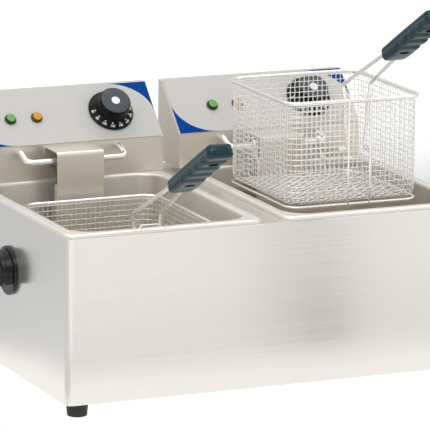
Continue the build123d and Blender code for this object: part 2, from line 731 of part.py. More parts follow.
def cover_screws(x):
    """The rear cover's screws, into the casing's return flanges."""
    seats = [Plane((x + dx, COVER_Y, z), x_dir=(1, 0, 0), z_dir=(0, 1, 0)) for dx, z in COVER_SCREWS]
    return screw_group(seats, 7)


# ---------------------------------------------------------------- basket
def basket_mesh(x, y, z):
    """The woven wire body as one thin-walled tray."""
    width, depth = BASKET_WIDTH - 2 * MESH_INSET, BASKET_DEPTH - 2 * MESH_INSET
    middle = y + BASKET_DEPTH / 2
    bottom = z + BASE_WIRE_D + TOUCH
    height = BASKET_HEIGHT - RIM_WIRE_D - BASE_WIRE_D - 2 * TOUCH
    corner = BASKET_CORNER - MESH_INSET
    with BuildPart() as mesh:
        with BuildSketch(Plane((x, middle, bottom))):
            RectangleRounded(width, depth, corner)
        extrude(amount=height)
        with BuildSketch(Plane((x, middle, bottom + MESH_WALL))):
            RectangleRounded(width - 2 * MESH_WALL, depth - 2 * MESH_WALL, corner - MESH_WALL)
        extrude(amount=height, mode=Mode.SUBTRACT)
    return mesh.part


def basket_ring(x, y, z, diameter, height, inset):
    """A wire around the basket: its middle above the underside, and in from the outside."""
    width, depth = BASKET_WIDTH - 2 * inset, BASKET_DEPTH - 2 * inset
    return ring(x, y + BASKET_DEPTH / 2, z + height, width, depth, BASKET_CORNER - inset, diameter)


def basket_bracket(x, y, z):
    """Front bracket: a wire bent over the rim, and the two eyes that the handle pivots in."""
    mid, wire_r = x + HANDLE_SHIFT, BRACKET_WIRE_D / 2
    bar_y = y - wire_r - TOUCH
    low, high = z + 1, z + BASKET_HEIGHT + 6
    pivot_y = y + PIVOT_REACH
    pivot_z = z + BASKET_HEIGHT - PIVOT_DROP
    with BuildPart() as bracket:
        with BuildLine() as path:
            FilletPolyline(
                (mid - BRACKET_HALF, bar_y, low),
                (mid - BRACKET_HALF, bar_y, high),
                (mid + BRACKET_HALF, bar_y, high),
                (mid + BRACKET_HALF, bar_y, low),
                radius=6,
            )
        with BuildSketch(Plane((mid - BRACKET_HALF, bar_y, low))):
            Circle(wire_r)
        sweep(path=path.line)
        for side in SIDES.values():
            with BuildSketch(Plane((mid + side * 17.2, pivot_y, pivot_z), z_dir=(side, 0, 0))):
                Circle(EYE_R)
                Circle(LEG_D / 2 + SHAFT_PLAY, mode=Mode.SUBTRACT)
            extrude(amount=6)
    return bracket.part


def basket_hooks(x, y, z):
    """Two wire hooks on the basket's back that catch the hanger rod."""
    eye_y, eye_z = y + BASKET_DEPTH + HOOK_REACH, z + HOOK_RISE
    turn = ROD_D / 2 + HOOK_WIRE_D / 2 + GAP
    wall_y = y + BASKET_DEPTH - MESH_INSET + HOOK_WIRE_D / 2 + TOUCH
    stem = [(wall_y, z + 5), (wall_y, z + 22), (eye_y - turn, eye_z - 10), (eye_y - turn, eye_z)]
    with BuildPart() as hooks:
        for side in SIDES.values():
            with BuildLine(Plane.YZ.offset(x + side * HOOK_HALF)) as path:
                FilletPolyline(*stem, radius=6)
                ThreePointArc((eye_y - turn, eye_z), (eye_y, eye_z + turn), (eye_y + turn, eye_z))
                Line((eye_y + turn, eye_z), (eye_y + turn, eye_z - 8))
            with BuildSketch(Plane((x + side * HOOK_HALF, wall_y, z + 5))):
                Circle(HOOK_WIRE_D / 2)
            sweep(path=path.line)
    return hooks.part


# ---------------------------------------------------------------- basket handle
def arm_origin(x, y, z):
    """Middle of the bend between the handle's upright legs and its sloping arm."""
    return (x + HANDLE_SHIFT, y + PIVOT_REACH, z + BASKET_HEIGHT + ARM_RISE)


def arm_point(origin, across, along):
    """A point on the arm, across from its middle and along from its bend."""
    slope = radians(ARM_ANGLE)
    return (origin[0] + across, origin[1] - along * cos(slope), origin[2] + along * sin(slope))


def handle_wire(x, y, z):
    """One wire: feet that turn out into the eyes, legs up past the rim, arms into the grip."""
    bend = arm_origin(x, y, z)
    mid, leg_y = bend[:2]
    rim_z = z + BASKET_HEIGHT
    pivot_z = rim_z - PIVOT_DROP
    pivot_half, rim_half, bend_half, grip_half = ARM_HALVES
    half = [
        (pivot_half + 11.5, leg_y, pivot_z),
        (pivot_half, leg_y, pivot_z),
        (rim_half, leg_y, rim_z),
        (bend_half, leg_y, bend[2]),
    ]
    left = [(mid - px, py, pz) for px, py, pz in half]
    right = [(mid + px, py, pz) for px, py, pz in reversed(half)]
    arm = [
        arm_point(bend, -grip_half, GRIP_START),
        arm_point(bend, -grip_half, WIRE_END),
        arm_point(bend, grip_half, WIRE_END),
        arm_point(bend, grip_half, GRIP_START),
    ]
    return wire(left + arm + right, LEG_D, 4.6)


def grip_plane(x, y, z):
    """The grip's side view: X along the arm from its bend, Y above the arm's axis."""
    slope = radians(ARM_ANGLE)
    return Plane(origin=arm_origin(x, y, z), x_dir=(0, -cos(slope), sin(slope)), z_dir=(-1, 0, 0))


def grip(x, y, z, half):
    """One half of the moulded grip: the cap, or the base with its finger scallops and slots."""
    side = grip_plane(x, y, z)
    flat = Plane(origin=side.origin, x_dir=(-1, 0, 0), z_dir=side.y_dir)
    length = GRIP_END - GRIP_START
    middle = (GRIP_START + GRIP_END) / 2
    reach = WIRE_END - GRIP_START + 6 + ARM_HALVES[3]
    with BuildPart() as moulding:
        with BuildSketch(flat.offset(-GRIP_BOTTOM)):
            with Locations((0, middle)):
                RectangleRounded(2 * GRIP_HALF, length, 2 * GRIP_EDGE)
        extrude(amount=GRIP_TOP + GRIP_BOTTOM)
        flat_faces = moulding.faces().sort_by(Axis(flat.origin, flat.z_dir))
        fillet([*flat_faces[0].edges(), *flat_faces[-1].edges()], GRIP_EDGE)
        with BuildSketch(flat):
            with Locations((0, middle)):
                Rectangle(4 * GRIP_HALF, 2 * length)
        extrude(amount=-40 if half == "cap" else 40, mode=Mode.SUBTRACT)
        with BuildSketch(flat.offset(-LEG_D / 2 - 0.1)):
            with Locations((0, GRIP_START - 10 + reach / 2)):
                Rectangle(2 * ARM_HALVES[3] + LEG_D + 0.6, reach)
                Rectangle(2 * ARM_HALVES[3] - LEG_D - 6, reach - 2 * ARM_HALVES[3], mode=Mode.SUBTRACT)
        extrude(amount=LEG_D + 0.2, mode=Mode.SUBTRACT)
        if half == "base":
            with BuildSketch(side.offset(-2 * GRIP_HALF)):
                for place in range(4):
                    with Locations((GRIP_START + 54 + 23 * place, SCALLOP_DEPTH - GRIP_BOTTOM - SCALLOP_R)):
                        Circle(SCALLOP_R)
            extrude(amount=4 * GRIP_HALF, mode=Mode.SUBTRACT)
            with BuildSketch(flat.offset(-GRIP_BOTTOM - 1)):
                with Locations((0, GRIP_START + 33), (0, GRIP_START + 112)):
                    SlotOverall(11, 3.4)
            extrude(amount=5, mode=Mode.SUBTRACT)
    return moulding.part


# ---------------------------------------------------------------- build and write
os.makedirs("parts", exist_ok=True)

save(outer_casing(), "outer_casing")
save(rear_panel(), "rear_panel")
save(top_deck(), "top_deck")
save(base_plate(), "base_plate")
save(divider(), "divider")
save(rubber_feet(), "rubber_feet")
save(foot_screws(), "foot_screws")
save(housing_screws(), "housing_screws")

for name, side in SIDES.items():
    save(side_handle(side), f"{name}_side_handle")
    save(tank(side), f"{name}_tank")

    head_x = HEAD_CENTRES[name]
    head_pieces = {
        "head_casing": head_casing,
        "head_rear_cover": rear_cover,
        "faceplate": faceplate,
        "thermostat": thermostat,
        "knob": knob,
        "hanger_rod": hanger_rod,
        "heating_element": heating_element,
        "element_guard": element_guard,
        "sensor_bulbs": sensor_bulbs,
        "safety_cutout": safety_cutout,
        "reset_button": reset_button,
        "terminal_block": terminal_block,
        "cable_gland": cable_gland,
        "cover_screws": cover_screws,
    }
    for piece, make in head_pieces.items():
        save(make(head_x), f"{name}_{piece}")
    for colour, place in LAMPS_AT.items():
        save(lamp(head_x, place), f"{name}_{colour}_lamp")

    place = BASKET_PLACES[name]
    save(basket_mesh(*place), f"{name}_basket_mesh")
    rim_r, base_r = RIM_WIRE_D / 2, BASE_WIRE_D / 2
    save(basket_ring(*place, RIM_WIRE_D, BASKET_HEIGHT - rim_r, rim_r), f"{name}_basket_rim")
    save(basket_ring(*place, BASE_WIRE_D, base_r, MESH_INSET + 0.5), f"{name}_basket_base_ring")
    save(basket_bracket(*place), f"{name}_basket_bracket")
    save(basket_hooks(*place), f"{name}_basket_hooks")
    save(handle_wire(*place), f"{name}_handle_wire")
    save(grip(*place, "cap"), f"{name}_grip_cap")
    save(grip(*place, "base"), f"{name}_grip_base")
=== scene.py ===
"""Looks of the countertop deep fryer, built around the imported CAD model. Metres, Z up."""

import json
import math

import bmesh
import bpy
import numpy as np
from mathutils import Matrix, Vector


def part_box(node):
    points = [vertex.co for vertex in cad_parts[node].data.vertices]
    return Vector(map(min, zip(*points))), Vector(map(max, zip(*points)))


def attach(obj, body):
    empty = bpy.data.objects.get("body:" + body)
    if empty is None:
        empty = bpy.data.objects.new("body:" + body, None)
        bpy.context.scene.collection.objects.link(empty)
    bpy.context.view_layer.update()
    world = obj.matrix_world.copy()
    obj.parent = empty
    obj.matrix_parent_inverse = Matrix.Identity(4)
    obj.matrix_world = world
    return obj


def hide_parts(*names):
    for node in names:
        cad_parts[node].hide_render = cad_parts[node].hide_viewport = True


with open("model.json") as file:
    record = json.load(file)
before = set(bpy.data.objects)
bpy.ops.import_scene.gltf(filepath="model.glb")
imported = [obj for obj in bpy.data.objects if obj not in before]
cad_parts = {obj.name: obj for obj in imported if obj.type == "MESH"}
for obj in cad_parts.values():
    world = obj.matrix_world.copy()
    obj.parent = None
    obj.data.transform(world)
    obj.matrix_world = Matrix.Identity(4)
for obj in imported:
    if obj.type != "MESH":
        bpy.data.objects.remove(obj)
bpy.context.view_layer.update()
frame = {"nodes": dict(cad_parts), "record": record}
MM = 0.001
SIDES = ("left", "right")
ROOT_HALF = math.sqrt(0.5)
PANEL_U = Vector((1, 0, 0))                     # the sloping panel's own axes: across it,
PANEL_V = Vector((0, ROOT_HALF, ROOT_HALF))     # up the slope
PANEL_N = Vector((0, -ROOT_HALF, ROOT_HALF))    # and straight out
joints = {j["name"]: j for j in frame["record"]["behaviour"]["joints"]}


# ---------------------------------------------------------------- node helpers
class Shader:
    """A material's node tree, built up call by call."""

    def __init__(self, name):
        self.material = bpy.data.materials.new(name)
        self.material.use_nodes = True
        self.nodes = self.material.node_tree.nodes
        self.links = self.material.node_tree.links
        self.bsdf = self.nodes["Principled BSDF"]

    def node(self, kind, inputs=None, **settings):
        made = self.nodes.new(kind)
        for key, value in settings.items():
            setattr(made, key, value)
        for key, value in (inputs or {}).items():
            self.put(made.inputs[key], value)
        return made

    def put(self, socket, value):
        """Links the value if it is a node's output, or else sets it."""
        if isinstance(value, bpy.types.NodeSocket):
            self.links.new(value, socket)
        else:
            socket.default_value = value

    def set(self, **inputs):
        """Principled inputs, with _ for a space in their names."""
        for key, value in inputs.items():
            self.put(self.bsdf.inputs[key.replace("_", " ")], value)

    def coords(self, scale=(1, 1, 1)):
        place = self.node("ShaderNodeTexCoord").outputs["Object"]
        return self.node("ShaderNodeMapping", {"Vector": place, "Scale": scale}).outputs[0]

    def noise(self, vector, scale, detail, roughness, distortion=0.0):
        made = self.node("ShaderNodeTexNoise", {"Vector": vector, "Scale": scale, "Detail": detail,
                                                "Roughness": roughness, "Distortion": distortion})
        return made.outputs["Fac"]

    def math(self, operation, a, b=0.0):
        return self.node("ShaderNodeMath", {0: a, 1: b}, operation=operation).outputs[0]

    def span(self, value, low, high, out_low, out_high):
        made = self.node("ShaderNodeMapRange", {"Value": value, "From Min": low, "From Max": high,
                                                "To Min": out_low, "To Max": out_high})
        return made.outputs["Result"]

    def blend(self, factor, a, b):
        """Colours a and b mixed by factor."""
        made = self.node("ShaderNodeMix", data_type="RGBA")
        for socket, value in zip((0, 6, 7), (factor, a, b)):
            self.put(made.inputs[socket], value)
        return made.outputs[2]

    def mix_value(self, factor, a, b):
        made = self.node("ShaderNodeMix", data_type="FLOAT")
        for socket, value in zip((0, 2, 3), (factor, a, b)):
            self.put(made.inputs[socket], value)
        return made.outputs[0]

    def bump(self, height, strength, distance):
        inputs = {"Height": height, "Strength": strength, "Distance": distance}
        self.set(Normal=self.node("ShaderNodeBump", inputs).outputs[0])

    def side_facing(self):
        """1 on faces that look along X, 0 on the rest."""
        normal = self.node("ShaderNodeTexCoord").outputs["Normal"]
        along = self.node("ShaderNodeSeparateXYZ", {0: normal}).outputs[0]
        return self.span(self.math("ABSOLUTE", along), 0.6, 0.8, 0, 1)

    def low_down(self, full, none, most):
        """The value most at height full and below, fading to 0 at height none."""
        place = self.node("ShaderNodeTexCoord").outputs["Object"]
        return self.span(self.node("ShaderNodeSeparateXYZ", {0: place}).outputs[2], full, none, most, 0)

    def edges(self, radius):
        """Worn-edge mask from the bevelled normal: 1 on sharp edges."""
        soft = self.node("ShaderNodeBevel", {"Radius": radius}, samples=4).outputs[0]
        hard = self.node("ShaderNodeNewGeometry").outputs["Normal"]
        return self.span(self.along(soft, hard), 0.98, 0.8, 0, 1)

    def along(self, a, b):
        """The dot product of two directions."""
        return self.node("ShaderNodeVectorMath", {0: a, 1: b}, operation="DOT_PRODUCT").outputs["Value"]


def rgb(r, g, b):
    """A display colour of 0 to 255 as linear RGBA."""
    linear = [((c / 255 + 0.055) / 1.055) ** 2.4 if c > 10 else c / 255 / 12.92 for c in (r, g, b)]
    return (*linear, 1)


# ---------------------------------------------------------------- materials
# golden colour of a painted reflection of the fries low down on the heads and tanks; on the tanks also a
# faint oil film in random patches
OIL_AND_REFLECTED_FRIES = rgb(222, 194, 136)
HEAD_FRIES_REFLECTION_Z = (0.255, 0.335)    # the painted reflection of the fries fades out between these heights on the heads, m
TANK_FRIES_REFLECTION_Z = (0.14, 0.235)     # and between these on the tanks


def brushed_steel(name, colour, rough, streak, metal=0.85, fries_reflection=0.0, grit=0.03):
    """Sheet steel with a fine level grain, faint smears and dull spots.

    streak darkens the grain, grit roughens it, and the last argument sets a painted reflection of the fries,
    a golden tint low down."""
    m = Shader(name)
    grain_x = m.noise(m.coords((2, 60, 1300)), 1.0, 3.0, 0.65)
    grain_y = m.noise(m.coords((60, 2, 1300)), 1.0, 3.0, 0.65)
    grain = m.mix_value(m.side_facing(), grain_x, grain_y)
    smear = m.noise(m.coords(), 6.0, 5.0, 0.6, 0.6)
    spots = m.noise(m.coords(), 45.0, 3.0, 0.5)
    dull = tuple(c * (1 - streak) for c in colour[:3]) + (1,)
    base = m.blend(m.span(grain, 0.3, 0.7, 0, 1), dull, colour)
    base = m.blend(m.span(smear, 0.35, 0.75, 0, 0.3), base, dull)
    # painted reflection of the fries: golden tint low down on the heads
    base = m.blend(m.low_down(*HEAD_FRIES_REFLECTION_Z, fries_reflection), base, OIL_AND_REFLECTED_FRIES)
    texture = m.math("ADD", m.span(grain, 0.3, 0.7, -grit, grit), m.span(smear, 0.3, 0.7, -0.02, 0.03))
    texture = m.math("ADD", texture, m.span(spots, 0.55, 0.8, 0, 0.02))
    m.set(Base_Color=base, Metallic=metal, Roughness=m.math("ADD", texture, rough))
    m.bump(grain, grit, 0.00005)
    return m.material


def pressed_steel(name, colour, rough):
    """Drawn tank steel: satin, a faint random oil film, soft ripples, and a painted reflection of the fries
    low down.
    """
    m = Shader(name)
    film = m.noise(m.coords(), 9.0, 4.0, 0.6, 0.6)
    draw = m.noise(m.coords((90, 90, 5)), 1.0, 3.0, 0.5)
    tint = m.blend(m.span(film, 0.4, 0.75, 0, 0.2), colour, OIL_AND_REFLECTED_FRIES)
    # painted reflection of the fries: golden tint low down in the tanks
    tint = m.blend(m.low_down(*TANK_FRIES_REFLECTION_Z, 0.25), tint, OIL_AND_REFLECTED_FRIES)
    ripple = m.span(draw, 0.3, 0.7, rough - 0.02, rough + 0.02)
    m.set(Base_Color=tint, Metallic=0.6)
    m.set(Roughness=m.math("ADD", m.span(film, 0.3, 0.7, -0.04, 0.06), ripple))
    m.bump(film, 0.05, 0.0006)
    return m.material


def bright_wire(name, colour, stain, rough=0.2):
    """Plated or polished wire with a little baked-on tint."""
    m = Shader(name)
    tint = m.noise(m.coords(), 60.0, 4.0, 0.6)
    fine = m.noise(m.coords(), 900.0, 2.0, 0.5)
    colour = m.blend(m.span(tint, 0.45, 0.8, 0, stain), colour, rgb(176, 148, 104))
    m.set(Base_Color=colour, Metallic=0.8)
    m.set(Roughness=m.span(fine, 0.3, 0.7, rough - 0.04, rough + 0.08))
    m.bump(fine, 0.08, 0.0001)
    return m.material


def element_steel(name):
    """Element tube dulled and blued by heat."""
    m = Shader(name)
    heat = m.noise(m.coords(), 26.0, 5.0, 0.6, 0.6)
    fine = m.noise(m.coords(), 500.0, 3.0, 0.6)
    colour = m.blend(m.span(heat, 0.35, 0.65, 0, 1), rgb(126, 118, 112), rgb(84, 80, 82))
    m.set(Base_Color=colour, Metallic=1.0, Roughness=m.span(fine, 0.3, 0.7, 0.34, 0.5))
    m.bump(fine, 0.15, 0.0002)
    return m.material


def moulded(name, colour, rough, grain=700.0, depth=0.00012, coat=0.0, worn=0.5, mottle=0.25,
            specular=0.5):
    """Moulded plastic or rubber: fine texture, slight mottling, paler handled edges.

    grain and depth are the texture's, worn is how pale the edges are, and coat adds a clear gloss."""
    m = Shader(name)
    texture = m.noise(m.coords(), grain, 3.0, 0.55)
    cloud = m.noise(m.coords(), 30.0, 4.0, 0.6)
    paler = tuple(min(1.0, c * 1.9 + 0.012) for c in colour[:3]) + (1,)
    base = m.blend(m.span(cloud, 0.35, 0.7, 0, mottle), colour, paler)
    base = m.blend(m.math("MULTIPLY", m.edges(0.0008), worn), base, paler)
    fine = m.span(texture, 0.3, 0.7, rough - 0.03, rough + 0.04)
    m.set(Base_Color=base, Roughness=m.math("ADD", m.span(cloud, 0.3, 0.7, -0.05, 0.07), fine))
    m.set(Coat_Weight=coat, Coat_Roughness=0.12, Specular_IOR_Level=specular)
    m.bump(texture, 0.25, depth)
    return m.material


def painted_film(name, colour):
    """Printed control panel film over steel: satin, with a very fine orange peel."""
    m = Shader(name)
    peel = m.noise(m.coords(), 420.0, 3.0, 0.5)
    cloud = m.noise(m.coords(), 16.0, 4.0, 0.6)
    paler = tuple(min(1.0, c * 1.06) for c in colour[:3]) + (1,)
    m.set(Base_Color=m.blend(cloud, colour, paler), Roughness=m.span(cloud, 0.3, 0.7, 0.3, 0.42))
    m.set(Specular_IOR_Level=0.03)
    m.bump(peel, 0.08, 0.0001)
    return m.material


def lens(name, colour, deep):
    """Lamp lens: a paler, lightly faceted top that glows a little, inside a deep-coloured rim."""
    m = Shader(name)
    cell = m.node("ShaderNodeTexVoronoi", {"Vector": m.coords(), "Scale": 900.0}).outputs["Distance"]
    up = m.along(m.node("ShaderNodeTexCoord").outputs["Normal"], tuple(PANEL_N))
    top = m.blend(m.span(cell, 0.1, 0.7, 0, 0.5), colour, deep)
    m.set(Base_Color=m.blend(m.span(up, 0.7, 0.97, 0, 1), deep, top), Roughness=0.12)
    m.set(Emission_Color=colour, Emission_Strength=m.span(up, 0.7, 0.97, 0, 0.15))
    m.set(Specular_IOR_Level=0.35)
    m.bump(cell, 0.2, 0.0002)
    return m.material


STEEL = rgb(232, 228, 222)
MATERIALS = {
    "brushed_steel": brushed_steel("housing_steel", STEEL, rough=0.22, streak=0.06),
    # head steel carries the painted reflection of the fries low down
    "head_steel": brushed_steel("head_steel", rgb(226, 221, 213), rough=0.32, streak=0.01, metal=0.6,
                                fries_reflection=0.16, grit=0.005),
    "tank_steel": pressed_steel("tank_steel", rgb(240, 238, 233), rough=0.34),
    "bright_wire": bright_wire("bright_wire", rgb(250, 248, 244), stain=0.12),
    "mesh_wire": bright_wire("mesh_wire", rgb(252, 251, 248), rough=0.28, stain=0.06),
    "element_steel": element_steel("element_steel"),
    "fastener": bright_wire("fastener", rgb(215, 214, 212), rough=0.24, stain=0.05),
    "rubber": moulded("rubber", rgb(26, 26, 27), 0.62, grain=500.0, depth=0.0002),
    "black_gloss": moulded("black_gloss", rgb(10, 10, 11), 0.1, grain=300.0, depth=0.00002,
                           mottle=0.0, worn=0.1, specular=0.4),
    "black_plastic": moulded("black_plastic", rgb(30, 30, 31), 0.45),
    "bakelite": moulded("bakelite", rgb(58, 48, 42), 0.4),
    "ceramic_white": moulded("ceramic_white", rgb(226, 222, 212), 0.5, mottle=0.05, worn=0.0),
    "panel_grey": painted_film("panel_grey", rgb(196, 194, 190)),
    "panel_blue": painted_film("panel_blue", rgb(0, 64, 142)),
    "knob_black": moulded("knob_black", rgb(9, 10, 10), 0.28, grain=900.0, depth=0.00008,
                          mottle=0.05, worn=0.2, specular=0.16),
    "knob_top": moulded("knob_top", rgb(72, 80, 84), 0.42, grain=900.0, depth=0.00008,
                        mottle=0.05, specular=0.2),
    "print_white": moulded("print_white", rgb(236, 236, 232), 0.5, mottle=0.02, worn=0.0),
    "reset_red": moulded("reset_red", rgb(176, 24, 22), 0.3, coat=0.3),
    "green_lens": lens("green_lens", rgb(116, 174, 92), rgb(30, 74, 30)),
    "amber_lens": lens("amber_lens", rgb(216, 154, 4), rgb(120, 74, 10)),
    "lamp_ring": moulded("lamp_ring", rgb(44, 46, 42), 0.35, worn=0.2, specular=0.3),
    "grip_teal": moulded("grip_teal", rgb(12, 50, 58), 0.18, grain=260.0, depth=0.00004,
                         worn=0.3, mottle=0.05, specular=0.3),
    # painted highlight: paler teal for the faces along the grip's seam
    "grip_seam_highlight": moulded("grip_seam_highlight", rgb(96, 132, 132), 0.3, worn=0.0, mottle=0.1),
    # painted shade: near-black for the walls inside the grip's pockets
    "pocket_shade": moulded("pocket_shade", rgb(4, 4, 4), 0.8, worn=0.0, mottle=0.0, specular=0.05),
}


def paint(obj, name):
    obj.data.materials.clear()
    obj.data.materials.append(MATERIALS[name])


slots = {part["node"]: part["material_slot"] for part in frame["record"]["subparts"]}
for node, obj in frame["nodes"].items():
    on_head = node.endswith(("head_casing", "head_rear_cover", "element_guard"))
    paint(obj, "head_steel" if on_head else slots[node])


# ---------------------------------------------------------------- mesh helpers
def add_mesh(name, verts, faces, material, body, smooth=True):
    """A new piece of the object that rides on a body."""
    mesh = bpy.data.meshes.new(name)
    mesh.from_pydata([tuple(v) for v in verts], [], faces)
    mesh.update()
    obj = bpy.data.objects.new(name, mesh)
    bpy.context.scene.collection.objects.link(obj)
    mesh.materials.append(MATERIALS[material])
    if smooth:
        mesh.shade_smooth()
    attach(obj, body)
    return obj


def tube(points, radius, sides, closed=False):
    """Vertices and faces of a round wire along the points."""
    p = np.asarray(points, dtype=float)
    ahead = np.roll(p, -1, 0) - p
    behind = p - np.roll(p, 1, 0)
    if not closed:
        ahead[-1] = behind[-1]
        behind[0] = ahead[0]
    tangent = sum(way / np.linalg.norm(way, axis=1)[:, None] for way in (ahead, behind))
    tangent /= np.linalg.norm(tangent, axis=1)[:, None]
    normal = np.zeros_like(p)
    seed = np.array([0.31, 0.52, 0.79])
    n = np.cross(tangent[0], seed)
    for i, t in enumerate(tangent):
        n = n - t * n.dot(t)
        n /= np.linalg.norm(n)
        normal[i] = n
    side = np.cross(tangent, normal)
    angle = (np.arange(sides) * 2 * math.pi / sides)[None, :, None]
    verts = p[:, None] + radius * (np.cos(angle) * normal[:, None] + np.sin(angle) * side[:, None])
    count = len(p)
    faces = []
    for i in range(count if closed else count - 1):
        a, b = i * sides, (i + 1) % count * sides
        for k in range(sides):
            m = (k + 1) % sides
            faces.append((a + k, a + m, b + m, b + k))
    if not closed:
        faces.append(tuple(range(sides))[::-1])
        faces.append(tuple(range((count - 1) * sides, count * sides)))
    return verts.reshape(-1, 3), faces


class Bundle:
    """Several wires gathered into one mesh."""

    def __init__(self):
        self.verts, self.faces, self.count = [], [], 0

    def add(self, verts, faces):
        self.verts.extend(verts)
        self.faces.extend(tuple(v + self.count for v in f) for f in faces)
        self.count += len(verts)


# ---------------------------------------------------------------- baskets
PITCH = 6.6 * MM              # from one wire to the next
MESH_WIRE_R = 0.6 * MM
WIRE_SIDES = 5
WEAVE = 0.5 * MM              # a wire's sway to either side as it passes the others
WALL_MIDDLE = 0.75 * MM       # middle of the CAD's thin wall, from its outside
FLOOR_RISE = 0.8 * MM         # floor wires above the CAD's underside
TOP_RISE = 0.5 * MM           # uprights' ends above the CAD's top, inside the rim wire
TOP_CLEAR = 3 * MM            # no ring this close to the top
CLOTH_CORNER = 19 * MM
BOTTOM_BEND = 8 * MM


def perimeter_point(s, half_x, half_y, corner):
    """Place and outward direction at arc length s round a rounded rectangle, from +X's middle."""
    straight_x, straight_y = half_x - corner, half_y - corner
    arc = corner * math.pi / 2
    runs = [straight_y, arc, 2 * straight_x, arc, 2 * straight_y, arc, 2 * straight_x, arc, straight_y]
    starts = [
        ((half_x, 0), (0, 1)),
        ((straight_x, straight_y), 0),
        ((straight_x, half_y), (-1, 0)),
        ((-straight_x, straight_y), 90),
        ((-half_x, straight_y), (0, -1)),
        ((-straight_x, -straight_y), 180),
        ((-straight_x, -half_y), (1, 0)),
        ((straight_x, -straight_y), 270),
        ((half_x, -straight_y), (0, 1)),
    ]
    s = s % sum(runs)
    index = 0
    while index < len(runs) - 1 and s > runs[index]:
        s -= runs[index]
        index += 1
    (x, y), way = starts[index]
    if isinstance(way, tuple):
        return (x + way[0] * s, y + way[1] * s), (way[1], -way[0])
    a = math.radians(way) + s / corner
    return (x + corner * math.cos(a), y + corner * math.sin(a)), (math.cos(a), math.sin(a))


def woven_basket(side):
    """The basket's wire cloth: uprights that turn under the floor, and rings woven through them."""
    node = f"{side}_basket_mesh"
    low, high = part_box(node)
    low, high = Vector(low), Vector(high)
    middle = (low + high) / 2
    half_x = (high.x - low.x) / 2 - WALL_MIDDLE
    half_y = (high.y - low.y) / 2 - WALL_MIDDLE
    floor_z, top_z = low.z + FLOOR_RISE, high.z + TOP_RISE
    bend_z = floor_z + BOTTOM_BEND
    length = 4 * (half_x + half_y) - (8 - 2 * math.pi) * CLOTH_CORNER
    columns = 4 * round(length / PITCH / 4)
    step = length / columns
    rows = int((top_z - bend_z - TOP_CLEAR) / PITCH)
    row_z = [bend_z + (i + 0.2) * (top_z - bend_z) / (rows + 0.3) for i in range(rows + 1)]
    bundle = Bundle()

    def wall(s, z, out):
        (x, y), (nx, ny) = perimeter_point(s, half_x, half_y, CLOTH_CORNER)
        return (middle.x + x + nx * out, middle.y + y + ny * out, z)

    for j, z in enumerate(row_z):
        sway = WEAVE * (-1) ** j
        ring = [wall((i / 2 + 0.5) * step, z, sway * math.cos(math.pi * i / 2))
                for i in range(2 * columns)]
        bundle.add(*tube(ring, MESH_WIRE_R, WIRE_SIDES, closed=True))

    def column(i):
        """An upright from the rim down to the bottom bend."""
        s = (i + 0.5) * step
        points = [wall(s, top_z, 0)]
        for j in range(rows, -1, -1):
            points.append(wall(s, row_z[j], -WEAVE * (-1) ** (i + j)))
            if j:
                points.append(wall(s, (row_z[j] + row_z[j - 1]) / 2, 0))
        for k in range(1, 5):
            a = k * math.pi / 8
            z = floor_z + BOTTOM_BEND * (1 - math.sin(a))
            points.append(wall(s, z, -BOTTOM_BEND * (1 - math.cos(a))))
        return points

    across = {}
    for i in range(columns):
        (x, y), (nx, ny) = perimeter_point((i + 0.5) * step, half_x, half_y, CLOTH_CORNER)
        key = None
        if abs(nx) < 0.01:
            key = ("y", round(x / step * 2))
        elif abs(ny) < 0.01:
            key = ("x", round(y / step * 2))
        if key is None:
            bundle.add(*tube(column(i), MESH_WIRE_R, WIRE_SIDES))
        elif key in across:
            axis, place = key
            one, other = column(across.pop(key)), column(i)
            a, b = Vector(one[-1]), Vector(other[-1])
            count = 2 * round((b - a).length / step)
            parity = 1 if axis == "x" else -1
            floor = []
            for k in range(1, count):
                p = a.lerp(b, k / count)
                wave = WEAVE * parity * (-1) ** (abs(place) // 2) * math.sin(math.pi * k / 2)
                floor.append((p.x, p.y, floor_z + wave))
            bundle.add(*tube(one + floor + other[::-1], MESH_WIRE_R, WIRE_SIDES))
        else:
            across[key] = i
    obj = add_mesh(f"{side}_basket_wires", bundle.verts, bundle.faces, "mesh_wire",
                   f"{side}_basket")
    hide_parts(node)


for side in SIDES:
    woven_basket(side)


# ---------------------------------------------------------------- grips
ARM_RISE = 84 * MM            # arm's bend above the handle's pivot
ARM_ANGLE = math.radians(29.3)
# the rest in mm: s is along the arm from its bend, and up is from the seam of the grip's halves
GRIP_START, GRIP_END = 110, 253
GRIP_TOP, GRIP_BOTTOM = 7.2, -10.6
END_STEPS = (0, 0.12, 0.4, 0.8, 1.4, 2.2, 3.2, 4.6, 6.2, 7.6, 9)    # rings close up at the round ends
HALF_WIDTH = {"cap": 16.5, "base": 17.0}
EDGE_STEPS = 8
CROWN = 0.5
SCALLOPS = (164, 187, 210, 233)
SCALLOP_HALF, SCALLOP_DEPTH = 8.5, 2.6
THIN_LENGTH, THIN_BY = 26, 1.6      # the base gets thinner towards the arm
# heights above the seam, mm, of the cap's faces that get the painted highlight
SEAM_HIGHLIGHT = (0.02, 0.4)
SLOTS = (143, 222)
SLOT_SHIFT, SLOT_HALF_WIDTH, SLOT_HALF_LENGTH = 3.4, 3.2, 3.6
SLOT_FLOOR = -6.2


def loft(sections):
    """Vertices and faces through rings of equal length, closed at both ends."""
    size = len(sections[0])
    verts = [p for ring in sections for p in ring]
    faces = []
    for i in range(len(sections) - 1):
        for k in range(size):
            m = (k + 1) % size
            faces.append((i * size + k, i * size + m, (i + 1) * size + m, (i + 1) * size + k))
    faces.append(tuple(range(size))[::-1])
    faces.append(tuple(range((len(sections) - 1) * size, len(sections) * size)))
    return verts, faces


def rounding(distance, radius):
    """How far a rounded corner stands back from its face, at a distance from its end."""
    if distance >= radius:
        return 0.0
    return radius - math.sqrt(radius**2 - (radius - distance) ** 2)


